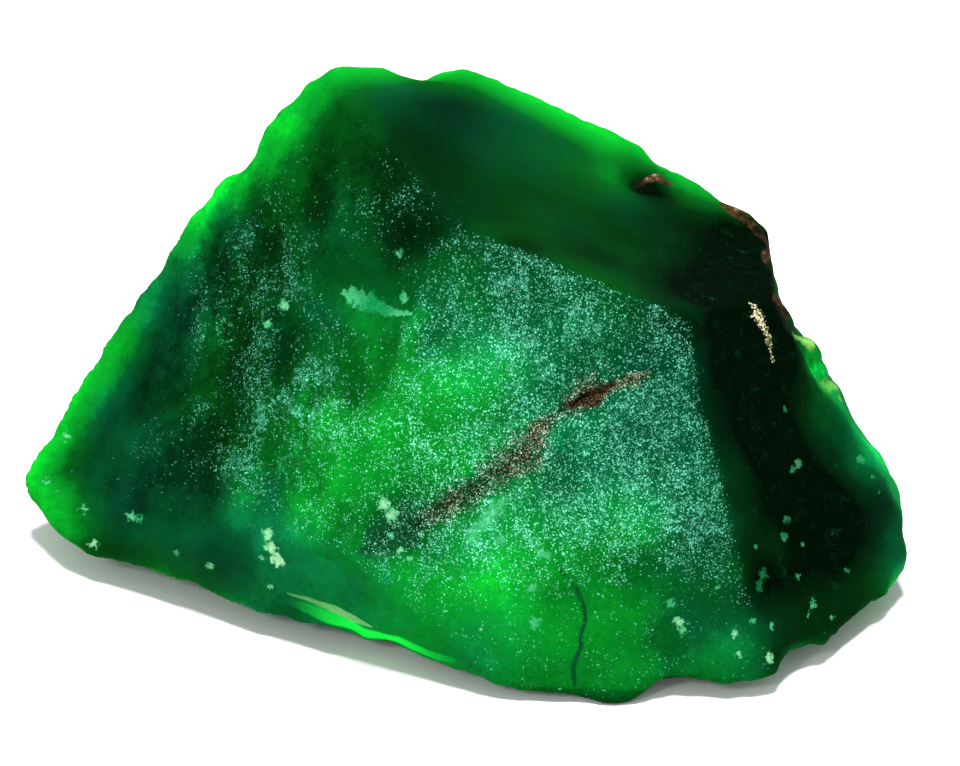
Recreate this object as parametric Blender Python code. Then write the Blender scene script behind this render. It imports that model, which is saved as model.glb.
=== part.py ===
"""Rough emerald: one loose stone of massive green rough, broken on every side.

The stone is worked out the way it came about. Each break is a gently curved face that
passes through three named corners. The stone is all that lies inside the breaks, less
the ledges that split off and the chips that were knocked out of it. Its underside is
the flat break that it rests on.
"""

import bmesh
import bpy
import numpy as np

# Sizes in millimetres, in the frame of the corners: X along the stone, Y away from its broad
# front, Z up, with the base at z = 0. MIDDLE is the middle of the footprint there, which
# becomes the origin.
MM = 0.001
MIDDLE = (-2.2, -0.1, 0.0)
CORE = (0.2, -2.0, 10.0)
BLOCK = (62.0, 39.0, 32.0)
CUBE_SIDE = 2.0
CELL = 1.62
BUNCHING = 0.9
ROUNDING = 0.25
REACH = 60.0
HALVINGS = 24
BASE_FLATNESS = 0.02
BULGE_REACH = 10.0
SLOPE_STEP = 0.01
FLATTEST_RIDGE = 0.97
NEAR_RIDGE = 0.6
RIDGE_ANGLE = 0.38

# Corners that more than one break shares.
PEAK = (-11.2, 9.2, 31.9)
LEFT_TIP = (-33.4, -1.9, 3.8)
KNEE = (-1.0, -4.0, 26.6)
SHOULDER = (11.2, -6.9, 22.0)
TOE = (7.0, -20.4, 0.2)
HIP = (16.4, -16.6, 6.6)
RIGHT_TIP = (28.4, -7.5, 5.0)
CREST_LEFT = (-1.5, 15.4, 27.7)
CREST = (8.4, 14.4, 24.5)
CREST_RIGHT = (14.4, 10.5, 21.9)
SHOULDER_BACK = (19.9, 7.0, 19.6)
STEP = (19.5, -0.5, 17.0)
WING = (25.3, -5.2, 9.8)
BACK_LEFT = (-6.8, 18.5, 8.0)
BACK_RIGHT = (5.2, 19.5, 9.0)

# Name: three corners, and how far the face bulges (or, below zero, is dished) in 10 mm.
BREAKS = {
    "broad_front": (PEAK, LEFT_TIP, KNEE, 0.20),
    "sugar_face": (KNEE, SHOULDER, TOE, 0.12),
    "glossy_top": (KNEE, SHOULDER_BACK, CREST_LEFT, -0.50),
    "right_slope": (SHOULDER, HIP, RIGHT_TIP, 0.15),
    "left_end": ((-33.4, -1.9, 3.9), (-28.8, -6.8, 3.2), (-29.2, -3.9, 0.5), 0.10),
    "low_left": ((-29.2, -6.5, 2.9), (-16.4, -12.4, 6.5), (-17.2, -12.2, 1.7), 0.10),
    "back_left": (PEAK, LEFT_TIP, (-14.8, 13.0, 3.0), 0.25),
    "back_peak": (PEAK, CREST_LEFT, BACK_LEFT, 0.20),
    "back_top": (CREST_LEFT, CREST, BACK_RIGHT, -0.35),
    "back_middle": (CREST, CREST_RIGHT, (15.2, 17.0, 7.0), 0.20),
    "back_right": (CREST_RIGHT, SHOULDER_BACK, (20.2, 12.5, 7.0), 0.20),
    "right_back": (RIGHT_TIP, (27.4, -3.0, 8.5), (24.6, 5.0, 8.0), 0.15),
    "right_low": ((28.3, -5.0, 3.0), (26.0, 1.0, 5.0), (24.0, 3.0, 0.0), 0.15),
    "right_back_low": ((26.2, 1.0, 6.0), (21.2, 12.0, 6.0), (21.2, 9.0, 1.0), 0.15),
    "foot_back": (BACK_LEFT, BACK_RIGHT, (-0.8, 13.0, 0.0), 0.20),
    "foot_left": ((-14.8, 13.0, 4.0), (-24.8, 5.0, 4.0), (-12.8, 8.0, 0.0), 0.20),
    "foot_right": (BACK_RIGHT, (20.2, 12.0, 5.0), (11.2, 9.0, 0.0), 0.20),
    "under_front": ((-14.8, -12.6, 1.7), (-0.8, -18.1, 0.8), (-4.8, -6.0, 0.0), -0.10),
    "under_right": ((27.2, -11.1, 1.8), (12.1, -19.9, 0.7), (17.2, -7.0, 0.0), -0.10),
}

# A slab that split off leaves a ledge: a riser, and the tread at its foot.
LEDGES = {
    "right_step": (
        ((19.4, 7.4, 19.0), STEP, (20.9, 4.0, 11.0)),
        ((20.4, 0.4, 16.2), WING, (23.6, 6.0, 9.4)),
    ),
    "back_step": (
        ((-11.3, 10.0, 31.7), (-34.4, -1.0, 3.8), (-12.9, 11.4, 2.8)),
        ((-24.8, 4.0, 6.5), (-8.8, 14.0, 9.0), (-12.8, 4.0, 8.0)),
    ),
}

# Chips knocked out by small blows: where the blow fell, and the radius of the hollow.
CHIPS = {
    "notch": ((-4.4, 15.2, 33.7), 6.0),
    "crest_hollow": ((10.9, 8.5, 24.0), 2.1),
    "hollow_end": ((12.4, 8.9, 23.5), 1.9),
    "crest_chip": ((12.6, 12.5, 24.1), 2.6),
    "front_scallop": ((-9.3, -7.1, 23.8), 4.5),
    "left_rim": ((-19.1, 7.4, 27.7), 3.4),
    "under_hollow": ((-14.1, -31.3, -8.5), 20.0),
    "toe_undercut": ((12.4, -21.8, -1.5), 4.0),
    "right_undercut": ((21.7, -19.2, 0.9), 3.0),
    "tip_chip": ((29.9, -11.4, 2.2), 3.0),
    "right_scoop": ((30.9, 1.2, 10.6), 7.0),
    "back_scoop": ((4.2, 27.0, 14.0), 9.5),
}

# Lumps that stand out of the breaks: the middle and the radius of each.
LUMPS = {
    "wing_lump": ((21.1, -1.7, 15.0), 1.35),
    "lump_middle": ((21.5, -2.2, 13.7), 1.40),
    "lump_foot": ((22.5, -2.9, 12.4), 1.00),
}

# The ridge between these two breaks is worn down, so that they run into each other softly.
WORN_RIDGE = ("broad_front", "glossy_top")
WEAR = 1.1
WEAR_START = 0.35

# The swell and the folds that the breaks carry.
SWELL_DEPTH = 0.16
SWELL_LENGTHS = (9.0, 18.0)
SWELL_WAVES = 24
SWELL_SEED = 7
FOLD_PITCH = 7.4
FOLD_DEPTH = 0.22
FOLD_ACROSS = (0.83, -0.47, 0.30)
FOLD_WANDER = 0.9

# The stone's colour, gloss and clearness.
GREEN = (0.012, 0.30, 0.065, 1.0)
GLOSS_ROUGHNESS = 0.32
REFRACTION = 1.57
CLEARNESS = 0.5


def unit(vectors):
    """Each vector at length 1."""
    return vectors / np.linalg.norm(vectors, axis=-1, keepdims=True)


def swell(points, seed=SWELL_SEED):
    """A never-repeating swell: many plane waves in random directions, added up."""
    rng = np.random.default_rng(seed)
    directions = unit(rng.normal(size=(SWELL_WAVES, 3)))
    numbers = 2 * np.pi / rng.uniform(*SWELL_LENGTHS, size=(SWELL_WAVES, 1))
    phases = rng.uniform(0, 2 * np.pi, SWELL_WAVES)
    return np.cos(points @ (directions * numbers).T + phases).sum(-1) * np.sqrt(2 / SWELL_WAVES)


def folds(points):
    """Long folds side by side, whose crests run up the face and wander a little."""
    across = points @ unit(np.array(FOLD_ACROSS))
    return np.cos(2 * np.pi * across / FOLD_PITCH + FOLD_WANDER * swell(points, SWELL_SEED + 1))


def break_height(points, corners, bulge=0.0):
    """Height above a break: over the plane of its corners, less the bulge between them."""
    a, b, c = np.array(corners)
    normal = unit(np.cross(b - a, c - a))
    if (np.array(CORE) - a) @ normal > 0:
        normal = -normal
    ab, ac = b - a, c - a
    turn = np.cross(ab, ac)
    centre = a + (np.cross(turn, ab) * (ac @ ac) + np.cross(ac, turn) * (ab @ ab)) / (2 * turn @ turn)
    beyond = ((points - centre) ** 2).sum(-1) - (a - centre) @ (a - centre)
    return (points - a) @ normal + bulge * beyond / BULGE_REACH**2


def heights(points):
    """Height above every break, ledge, chip and the base, one row each."""
    lift = SWELL_DEPTH * swell(points)
    rows = []
    for name, (*corners, bulge) in BREAKS.items():
        own = FOLD_DEPTH * folds(points) if name == "broad_front" else 0.0
        rows.append(break_height(points, corners, bulge) - lift - own)
    for riser, tread in LEDGES.values():
        rows.append(np.minimum(break_height(points, riser), break_height(points, tread)) - lift)
    for centre, radius in CHIPS.values():
        rows.append(radius - np.linalg.norm(points - np.array(centre), axis=-1))
    rows.append(-points[:, 2])
    return np.stack(rows)


def outside(points):
    """The highest of the heights, with slightly rounded ridges between them, and lumps added."""
    rows = heights(points)
    front, glossy = [rows[list(BREAKS).index(name)] for name in WORN_RIDGE]
    worn = np.maximum(front, glossy) + WEAR * np.log1p(np.exp(-np.abs(front - glossy) / WEAR))
    rows = np.vstack([rows, worn - WEAR_START])
    top = rows.max(0)
    body = top + ROUNDING * np.log(np.exp((rows - top) / ROUNDING).sum(0))
    for centre, radius in LUMPS.values():
        body = np.minimum(body, np.linalg.norm(points - np.array(centre), axis=-1) - radius)
    return body


def cage():
    """A block cut into cells: a direction out of the core for each corner, and the cells."""
    block = bmesh.new()
    bmesh.ops.create_cube(block, size=CUBE_SIDE)
    for axis, length in enumerate(BLOCK):
        along = []
        for edge in block.edges:
            start, end = edge.verts
            if abs(start.co[axis] - end.co[axis]) > CUBE_SIDE / 2:
                along.append(edge)
        cuts = round(length / CELL) - 1
        bmesh.ops.subdivide_edges(block, edges=along, cuts=cuts, use_grid_fill=True)
    block.verts.index_update()
    corners = np.array([v.co for v in block.verts])
    cells = np.array([[v.index for v in face.verts] for face in block.faces])
    block.free()
    even = np.tan(corners * np.pi / 4 * BUNCHING)
    return unit(even * np.array(BLOCK)), cells


def shoot(directions):
    """The surface point in each direction, found by halving the way to it."""
    near = np.zeros(len(directions))
    far = np.full(len(directions), REACH)
    for _ in range(HALVINGS):
        middle = (near + far) / 2
        out = outside(CORE + directions * middle[:, None]) > 0
        near = np.where(out, near, middle)
        far = np.where(out, middle, far)
    return CORE + directions * near[:, None]


def slopes(points, rows):
    """The direction straight out of the picked face at each point."""
    parts = []
    for axis in np.eye(3) * SLOPE_STEP:
        rise = heights(points + axis) - heights(points - axis)
        parts.append(np.take_along_axis(rise, rows[None], 0)[0])
    return unit(np.stack(parts, -1))


def sharpen(points, cells):
    """Where a cell's side crosses a ridge, its nearer end moves on to the ridge.

    The faces' heights are above zero only on a lump, and its points stay where they are.
    """
    rows = heights(points)
    face = rows.argmax(0)
    on_lump = rows.max(0) > BASE_FLATNESS
    sides = np.stack([cells, np.roll(cells, -1, axis=1)], -1).reshape(-1, 2)
    sides = sides[sides[:, 0] < sides[:, 1]]
    sides = sides[face[sides[:, 0]] != face[sides[:, 1]]]
    sides = sides[~on_lump[sides].any(-1)]
    end, far_end = sides.T.reshape(-1), sides[:, ::-1].T.reshape(-1)
    rise_1, rise_2 = rows[face[end], end], rows[face[far_end], end]
    out_1, out_2 = slopes(points[end], face[end]), slopes(points[end], face[far_end])
    cosine = np.minimum((out_1 * out_2).sum(-1), FLATTEST_RIDGE)
    spread = 1 - cosine**2
    move = ((cosine * rise_2 - rise_1) / spread)[:, None] * out_1
    move += ((cosine * rise_1 - rise_2) / spread)[:, None] * out_2
    length = np.linalg.norm(move, axis=1)
    one, other = length.reshape(2, -1)
    nearer = np.concatenate([one <= other, one > other])
    side_length = np.linalg.norm(points[end] - points[far_end], axis=1)
    close = nearer & (length < NEAR_RIDGE * side_length)
    chosen = np.flatnonzero(close & (cosine < FLATTEST_RIDGE))
    chosen = chosen[np.argsort(-length[chosen])]
    moved = points.copy()
    moved[end[chosen]] += move[chosen]
    return moved


def triangles(points, cells):
    """Each cell cut in two along the diagonal that lies closer to the unrounded faces."""
    corners = points[cells]
    gap_1 = np.abs(heights((corners[:, 0] + corners[:, 2]) / 2).max(0))
    gap_2 = np.abs(heights((corners[:, 1] + corners[:, 3]) / 2).max(0))
    straight = (gap_1 <= gap_2)[:, None]
    one = np.where(straight, cells[:, [0, 1, 2]], cells[:, [0, 1, 3]])
    two = np.where(straight, cells[:, [0, 2, 3]], cells[:, [1, 2, 3]])
    return np.concatenate([one, two])


def stone_material():
    """Green, slightly clear stone with a waxy gloss."""
    material = bpy.data.materials.new("emerald_rough")
    material.use_nodes = True
    shader = material.node_tree.nodes["Principled BSDF"]
    shader.inputs["Base Color"].default_value = GREEN
    shader.inputs["Roughness"].default_value = GLOSS_ROUGHNESS
    shader.inputs["Metallic"].default_value = 0.0
    shader.inputs["IOR"].default_value = REFRACTION
    shader.inputs["Transmission Weight"].default_value = CLEARNESS
    return material


def make_stone():
    """The whole stone, as one closed solid."""
    directions, cells = cage()
    points = sharpen(shoot(directions), cells)
    points[:, 2] = np.where(points[:, 2] < BASE_FLATNESS, 0.0, points[:, 2])
    mesh = bpy.data.meshes.new("stone")
    mesh.from_pydata(((points - MIDDLE) * MM).tolist(), [], triangles(points, cells).tolist())
    mesh.shade_smooth()
    mesh.set_sharp_from_angle(angle=RIDGE_ANGLE)
    mesh.materials.append(stone_material())
    stone = bpy.data.objects.new("stone", mesh)
    bpy.context.collection.objects.link(stone)
    return stone


for old in list(bpy.data.objects):
    bpy.data.objects.remove(old)
make_stone()
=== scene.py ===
"""Rough emerald: the looks of one loose stone of massive green rough, lying on a pale floor.

Sizes are in millimetres, in the frame of the stone's corners, unless a name says otherwise.
"""

import bpy
import numpy as np
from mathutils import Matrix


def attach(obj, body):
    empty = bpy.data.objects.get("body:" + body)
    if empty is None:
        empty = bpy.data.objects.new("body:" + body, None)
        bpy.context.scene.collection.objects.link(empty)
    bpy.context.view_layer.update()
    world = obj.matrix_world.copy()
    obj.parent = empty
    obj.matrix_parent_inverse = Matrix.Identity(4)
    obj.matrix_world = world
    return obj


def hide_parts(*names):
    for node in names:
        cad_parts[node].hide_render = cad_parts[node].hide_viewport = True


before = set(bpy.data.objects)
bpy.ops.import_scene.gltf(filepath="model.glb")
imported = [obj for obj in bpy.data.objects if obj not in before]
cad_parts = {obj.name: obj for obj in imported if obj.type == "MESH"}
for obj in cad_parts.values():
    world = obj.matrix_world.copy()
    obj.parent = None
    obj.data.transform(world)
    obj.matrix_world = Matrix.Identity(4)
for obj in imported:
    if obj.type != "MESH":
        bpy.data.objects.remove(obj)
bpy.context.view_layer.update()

# The camera stands where the photograph was taken from. A long lens looks down on the broad
# front of the stone, which fills the picture.
MM = 0.001
PICTURE = (960, 766)
LOOK_DOWN = np.radians(35.0)
CAMERA_DISTANCE = 180.0
CAMERA_AIM = np.array([1.4, -3.4, 14.0])
LENS = 100.0
SENSOR = 36.0
NEAREST_SEEN = 0.01

ahead = np.array([0.0, np.cos(LOOK_DOWN), -np.sin(LOOK_DOWN)])
upward = np.array([0.0, np.sin(LOOK_DOWN), np.cos(LOOK_DOWN)])
sideways = np.array([1.0, 0.0, 0.0])
eye = CAMERA_AIM - ahead * CAMERA_DISTANCE

lens = bpy.data.cameras.new("camera")
lens.lens = LENS
lens.sensor_width = SENSOR
lens.clip_start = NEAREST_SEEN
camera = bpy.data.objects.new("camera", lens)
camera.location = eye * MM
camera.rotation_euler = (np.pi / 2 - LOOK_DOWN, 0.0, 0.0)
bpy.context.collection.objects.link(camera)
bpy.context.scene.camera = camera


def sight(pixels):
    """The line of sight of each pixel: one step ahead, and sideways and up by its share."""
    half = PICTURE[0] / 2
    across = (pixels - np.array(PICTURE) / 2) / half * SENSOR / 2 / LENS
    return ahead + across[:, :1] * sideways - across[:, 1:] * upward


# The stone is one broken lump. Each break is a gently curved face through three named corners,
# and ledges and chips split off it. All finer relief is worked in here: the ribs of the broad
# front, the arcs of the glossy top, crumbled edges and bruises.
# The middle of the footprint among the corners, and the core that every break faces away from.
MIDDLE = np.array([-2.2, -0.1, 0.0])
CORE = np.array([0.2, -2.0, 10.0])
# The block of cells that is drawn onto the stone: its sides, the size of a cell, and how evenly
# the cells are spread over the directions.
BLOCK = np.array([62.0, 39.0, 32.0])
CELL = 0.345
BUNCHING = 0.9
# How far out of the core the surface is looked for, and how closely it is found.
REACH = 60.0
HALVINGS = 22
# Lower than this the stone is its flat resting break.
BASE_FLATNESS = 0.02
# How a pixel's place on the stone is looked for along its line of sight.
SEEN_REACH = 45.0
SEEN_STEP = 0.5
SEEN_HALVINGS = 10

PEAK = (-11.2, 9.2, 31.9)
LEFT_TIP = (-33.4, -1.9, 3.8)
KNEE = (-1.0, -4.0, 26.6)
SHOULDER = (11.2, -6.9, 22.0)
TOE = (7.0, -20.4, 0.2)
HIP = (16.4, -16.6, 6.6)
RIGHT_TIP = (28.4, -7.5, 5.0)
CREST_LEFT = (-1.5, 15.4, 27.7)
CREST = (8.4, 14.4, 24.5)
CREST_RIGHT = (14.4, 10.5, 21.9)
SHOULDER_BACK = (19.9, 7.0, 19.6)
STEP = (19.5, -0.5, 17.0)
WING = (25.3, -5.2, 9.8)
BACK_LEFT = (-6.8, 18.5, 8.0)
BACK_RIGHT = (5.2, 19.5, 9.0)

# Name: three corners, and how far the face bulges (or, below zero, is dished) in its span.
BULGE_SPAN = 10.0
BREAKS = {
    "broad_front": (PEAK, LEFT_TIP, KNEE, 0.20),
    "sugar_face": (KNEE, SHOULDER, TOE, 0.12),
    "glossy_top": (KNEE, SHOULDER_BACK, CREST_LEFT, -0.50),
    "right_slope": (SHOULDER, HIP, RIGHT_TIP, 0.15),
    "left_end": ((-33.4, -1.9, 3.9), (-28.8, -6.8, 3.2), (-29.2, -3.9, 0.5), 0.10),
    "low_left": ((-29.2, -6.5, 2.9), (-16.4, -12.4, 6.5), (-17.2, -12.2, 1.7), 0.10),
    "back_left": (PEAK, LEFT_TIP, (-14.8, 13.0, 3.0), 0.25),
    "back_peak": (PEAK, CREST_LEFT, BACK_LEFT, 0.20),
    "back_top": (CREST_LEFT, CREST, BACK_RIGHT, -0.35),
    "back_middle": (CREST, CREST_RIGHT, (15.2, 17.0, 7.0), 0.20),
    "back_right": (CREST_RIGHT, SHOULDER_BACK, (20.2, 12.5, 7.0), 0.20),
    "right_back": (RIGHT_TIP, (27.4, -3.0, 8.5), (24.6, 5.0, 8.0), 0.15),
    "right_low": ((28.3, -5.0, 3.0), (26.0, 1.0, 5.0), (24.0, 3.0, 0.0), 0.15),
    "right_back_low": ((26.2, 1.0, 6.0), (21.2, 12.0, 6.0), (21.2, 9.0, 1.0), 0.15),
    "foot_back": (BACK_LEFT, BACK_RIGHT, (-0.8, 13.0, 0.0), 0.20),
    "foot_left": ((-14.8, 13.0, 4.0), (-24.8, 5.0, 4.0), (-12.8, 8.0, 0.0), 0.20),
    "foot_right": (BACK_RIGHT, (20.2, 12.0, 5.0), (11.2, 9.0, 0.0), 0.20),
    "under_front": ((-14.8, -12.6, 1.7), (-0.8, -18.1, 0.8), (-4.8, -6.0, 0.0), -0.10),
    "under_right": ((27.2, -11.1, 1.8), (12.1, -19.9, 0.7), (17.2, -7.0, 0.0), -0.10),
}
# Ledges: a riser and a tread, each through three corners.
LEDGES = {
    "right_step": (
        ((19.4, 7.4, 19.0), STEP, (20.9, 4.0, 11.0)),
        ((20.4, 0.4, 16.2), WING, (23.6, 6.0, 9.4)),
    ),
    "back_step": (
        ((-11.3, 10.0, 31.7), (-34.4, -1.0, 3.8), (-12.9, 11.4, 2.8)),
        ((-24.8, 4.0, 6.5), (-8.8, 14.0, 9.0), (-12.8, 4.0, 8.0)),
    ),
}
# Chips and scoops: the ball that was bitten out of the stone, as its middle and radius.
CHIPS = {
    "notch": ((-4.4, 15.2, 33.7), 6.0),
    "crest_hollow": ((10.9, 8.5, 24.0), 2.1),
    "hollow_end": ((12.4, 8.9, 23.5), 1.9),
    "crest_chip": ((12.6, 12.5, 24.1), 2.6),
    "front_scallop": ((-9.3, -7.1, 23.8), 4.5),
    "left_rim": ((-19.1, 7.4, 27.7), 3.4),
    "under_hollow": ((-14.1, -31.3, -8.5), 20.0),
    "toe_undercut": ((12.4, -21.8, -1.5), 4.0),
    "right_undercut": ((21.7, -19.2, 0.9), 3.0),
    "tip_chip": ((29.9, -11.4, 2.2), 3.0),
    "right_scoop": ((30.9, 1.2, 10.6), 7.0),
    "back_scoop": ((4.2, 27.0, 14.0), 9.5),
}
# The lump on the edge of the wing, as balls that run into each other.
LUMPS = {
    "wing_lump": ((21.1, -1.7, 15.0), 1.35),
    "lump_middle": ((21.5, -2.2, 13.7), 1.40),
    "lump_foot": ((22.5, -2.9, 12.4), 1.00),
}
# Where the breaks that are named again below stand among the heights.
BROAD_FRONT, SUGAR_FACE, GLOSSY_TOP, RIGHT_SLOPE, LOW_LEFT = [
    list(BREAKS).index(name)
    for name in ("broad_front", "sugar_face", "glossy_top", "right_slope", "low_left")
]
# The ridge between the front and the top is worn down, so that they run into each other softly.
WEAR = 1.1
WEAR_START = 0.35
# Each relief is plane waves added up: the seed, and the shortest and the longest wave.
WAVE_COUNT = 24
SWELL = (7, 9.0, 18.0)
SWELL_DEPTH = 0.16
FOLD_SWELL = (8, 9.0, 18.0)
FOLD_PITCH = 7.4
FOLD_DEPTH = 0.13
FOLD_ACROSS = (0.83, -0.47, 0.30)
FOLD_WANDER = 0.9
EDGE_ROUNDING = 0.12
# How softly neighbouring breaks share what lies between them: relief, grains and clouds.
PLAIN = 0.25
CRISP = 0.07
CLOUDY = 1.0

# How coarse each break is: the depth of its broad relief, of its fine relief and of the crumbs
# that broke off its edges.
COARSENESS = {
    "broad_front": (0.09, 0.040, 0.10),
    "sugar_face": (0.05, 0.028, 0.06),
    "glossy_top": (0.02, 0.004, 0.08),
    "right_slope": (0.05, 0.025, 0.12),
    "left_end": (0.06, 0.030, 0.08),
    "low_left": (0.05, 0.018, 0.10),
}
HIDDEN_COARSENESS = (0.10, 0.045, 0.18)
BROAD_RELIEF = (21, 3.0, 7.0)
FINE_RELIEF = (22, 1.1, 2.8)
RIBS = (23, 2.6, 6.5)
RIB_STRAYING = 0.55
RIB_DEPTH = 0.06
ARC_BLOW = np.array([17.5, 12.0, 21.0])
ARC_PITCH = 3.1
ARC_DEPTH = 0.012
ARC_WANDER = 0.5
CRUMBLE_WIDTH = 0.45
CRUMBLE = (25, 1.8, 4.5)
CRUMBLE_RANGE = (0.0, 1.2)

# Bruises: the pixel of the photograph where each shows, its radius and how pale it is.
BRUISES = (
    ((267, 534), 0.50, 0.75),
    ((270, 548), 0.55, 0.80),
    ((277, 560), 0.60, 1.00),
    ((262, 558), 0.30, 0.60),
    ((131, 516), 0.45, 0.60),
    ((140, 519), 0.45, 0.20),
    ((403, 298), 0.45, 0.50),
    ((398, 252), 0.35, 0.50),
    ((284, 305), 0.45, 0.60),
    ((268, 324), 0.35, 0.55),
    ((384, 503), 0.45, 0.70),
    ((391, 515), 0.50, 0.65),
    ((391, 535), 0.30, 0.55),
    ((400, 550), 0.30, 0.60),
    ((410, 558), 0.28, 0.60),
    ((83, 509), 0.45, 0.65),
    ((92, 545), 0.50, 0.75),
    ((103, 507), 0.20, 0.55),
    ((64, 436), 0.50, 0.60),
    ((45, 481), 0.40, 0.65),
    ((57, 490), 0.30, 0.50),
    ((72, 470), 0.25, 0.65),
    ((176, 553), 0.30, 0.50),
    ((209, 567), 0.35, 0.60),
    ((270, 586), 0.28, 0.70),
    ((501, 540), 0.45, 0.30),
    ((540, 553), 0.40, 0.50),
    ((548, 556), 0.30, 0.35),
    ((533, 588), 0.45, 0.45),
    ((535, 622), 0.45, 0.40),
    ((511, 638), 0.22, 0.70),
    ((481, 630), 0.18, 0.60),
    ((671, 603), 0.35, 0.35),
    ((679, 622), 0.45, 0.70),
    ((683, 633), 0.30, 0.60),
    ((717, 587), 0.22, 0.45),
    ((734, 633), 0.35, 0.65),
    ((739, 656), 0.35, 0.65),
    ((770, 657), 0.40, 0.80),
    ((784, 410), 0.28, 0.20),
    ((799, 463), 0.35, 0.60),
    ((793, 470), 0.35, 0.35),
    ((787, 520), 0.35, 0.30),
    ((785, 537), 0.35, 0.30),
    ((764, 574), 0.50, 0.15),
    ((760, 586), 0.40, 0.10),
    ((798, 577), 0.28, 0.50),
    ((813, 604), 0.40, 0.50),
    ((809, 616), 0.25, 0.50),
    ((832, 617), 0.28, 0.55),
    ((848, 570), 0.25, 0.35),
    ((773, 626), 0.30, 0.50),
    ((753, 620), 0.28, 0.40),
    ((756, 546), 0.20, 0.50),
    ((804, 544), 0.20, 0.50),
    ((860, 459), 0.40, 0.15),
    ((873, 477), 0.25, 0.20),
    ((880, 493), 0.25, 0.20),
    ((600, 353), 0.30, 0.10),
)
# How deep each mark is cut, and how near its middle it is that deep.
BRUISE_CUT = (0.07, 0.7)
# Lines drawn through pixels, each with its half width there and how pale or bright it is.
VEIN = (
    ((366, 550), 0.40, 0.00),
    ((385, 540), 0.90, 0.00),
    ((405, 529), 0.95, 0.05),
    ((422, 521), 0.50, 0.25),
    ((434, 514), 0.50, 0.65),
    ((456, 500), 0.85, 0.70),
    ((480, 485), 0.65, 0.45),
    ((506, 466), 1.10, 0.75),
    ((526, 451), 0.95, 0.80),
    ((540, 428), 0.55, 1.00),
    ((558, 413), 0.30, 0.30),
    ((574, 404), 0.60, 0.85),
    ((590, 392), 0.80, 0.95),
    ((612, 386), 0.35, 0.80),
    ((634, 379), 0.40, 1.00),
    ((650, 372), 0.15, 1.00),
)
VEIN_CUT = (0.09, 0.8)
PIT = (
    ((572, 406), 0.25, 0.2),
    ((584, 400), 0.60, 0.0),
    ((594, 398), 0.70, 0.1),
    ((603, 391), 0.40, 0.4),
    ((611, 385), 0.20, 0.6),
)
PIT_CUT = (0.35, 0.8)
CRACK = (
    ((557, 563), 0.30, 0.0),
    ((563, 574), 0.35, 0.0),
    ((572, 582), 0.25, 0.0),
    ((578, 592), 0.55, 0.0),
    ((584, 606), 0.50, 0.0),
    ((586, 620), 0.50, 0.0),
    ((581, 634), 0.55, 0.0),
    ((581, 648), 0.65, 0.0),
    ((574, 662), 0.55, 0.0),
    ((573, 674), 0.65, 0.0),
    ((575, 686), 0.40, 0.0),
)
CRACK_BRANCH = (((567, 591), 0.30, 0.0), ((578, 590), 0.45, 0.0))
CRACK_CUT = (0.12, 0.9)
HAZE = (((504, 500), 0.45, 0.0), ((490, 516), 0.80, 0.0), ((470, 540), 0.50, 0.0))
FRONT_CHIP = (
    ((345, 293), 0.30, 0.45),
    ((356, 297), 0.70, 0.40),
    ((370, 303), 0.85, 0.00),
    ((384, 310), 0.50, 0.05),
    ((398, 313), 0.30, 0.45),
    ((411, 313), 0.20, 0.50),
)
# The foot strip is a painted glow, as of light shining through the thin foot under its edge.
PAINTED_FOOT_GLOW = (
    ((290, 602), 0.40, 0.00),
    ((310, 609), 0.60, 0.30),
    ((330, 617), 0.75, 0.70),
    ((350, 625), 0.85, 1.00),
    ((366, 631), 0.80, 1.00),
    ((382, 635), 0.70, 1.00),
    ((398, 639), 0.60, 1.00),
    ((412, 645), 0.50, 0.80),
    ((428, 652), 0.40, 0.50),
    ((452, 660), 0.35, 0.15),
)
FOOT_CHIP = (
    ((288, 593), 0.12, 0.2),
    ((314, 601), 0.22, 0.4),
    ((335, 609), 0.36, 0.6),
    ((351, 617), 0.36, 0.6),
    ((372, 627), 0.12, 0.5),
)
CREAM_STREAK = (
    ((751, 304), 0.18, 0.455),
    ((757, 314), 0.48, 0.650),
    ((762, 324), 0.30, 0.520),
    ((767, 335), 0.32, 0.455),
    ((770, 348), 0.20, 0.390),
    ((773, 362), 0.14, 0.325),
)
# The lump's edge holds a painted highlight, pale yellow-green.
PAINTED_LUMP_HIGHLIGHT = (
    ((797, 337), 0.35, 0.4),
    ((810, 340), 0.50, 0.8),
    ((824, 358), 0.55, 0.6),
    ((832, 385), 0.45, 0.5),
    ((838, 402), 0.25, 0.3),
)
# Brown skin: the old outside of the lump, left along the crest and the shoulder.
SKIN = (
    ((722, 203), 0.30, 0.30),
    ((734, 211), 0.50, 0.40),
    ((750, 223), 0.40, 0.20),
    ((762, 236), 0.40, 0.25),
    ((770, 254), 0.50, 0.35),
    ((775, 276), 0.50, 0.40),
    ((779, 302), 0.40, 0.30),
    ((788, 326), 0.30, 0.20),
)
HOLLOW_SKIN = (
    ((634, 187), 0.22, 0.05),
    ((645, 181), 0.24, 0.30),
    ((656, 178), 0.34, 0.60),
    ((669, 184), 0.26, 0.20),
)


def unit(vectors):
    """Each vector at length 1."""
    return vectors / np.linalg.norm(vectors, axis=-1, keepdims=True)


def ease(values, low, high):
    """0 below low and 1 above high, with a smooth S between them."""
    share = np.clip((values - low) / (high - low), 0.0, 1.0)
    return share * share * (3 - 2 * share)


def waves(points, seed, shortest, longest, across=None, straying=0.0):
    """Plane waves added up: in random directions, or within straying of one direction."""
    rng = np.random.default_rng(seed)
    directions = unit(rng.normal(size=(WAVE_COUNT, 3)))
    if across is not None:
        directions = unit(np.array(across)) + straying * directions
    numbers = 2 * np.pi / rng.uniform(shortest, longest, size=(WAVE_COUNT, 1))
    phases = rng.uniform(0, 2 * np.pi, WAVE_COUNT)
    return np.cos(points @ (directions * numbers).T + phases).sum(-1) * np.sqrt(2 / WAVE_COUNT)


def folds(points):
    """Long folds side by side, whose crests run up the face and wander a little."""
    across = points @ unit(np.array(FOLD_ACROSS))
    return np.cos(2 * np.pi * across / FOLD_PITCH + FOLD_WANDER * waves(points, *FOLD_SWELL))


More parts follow.
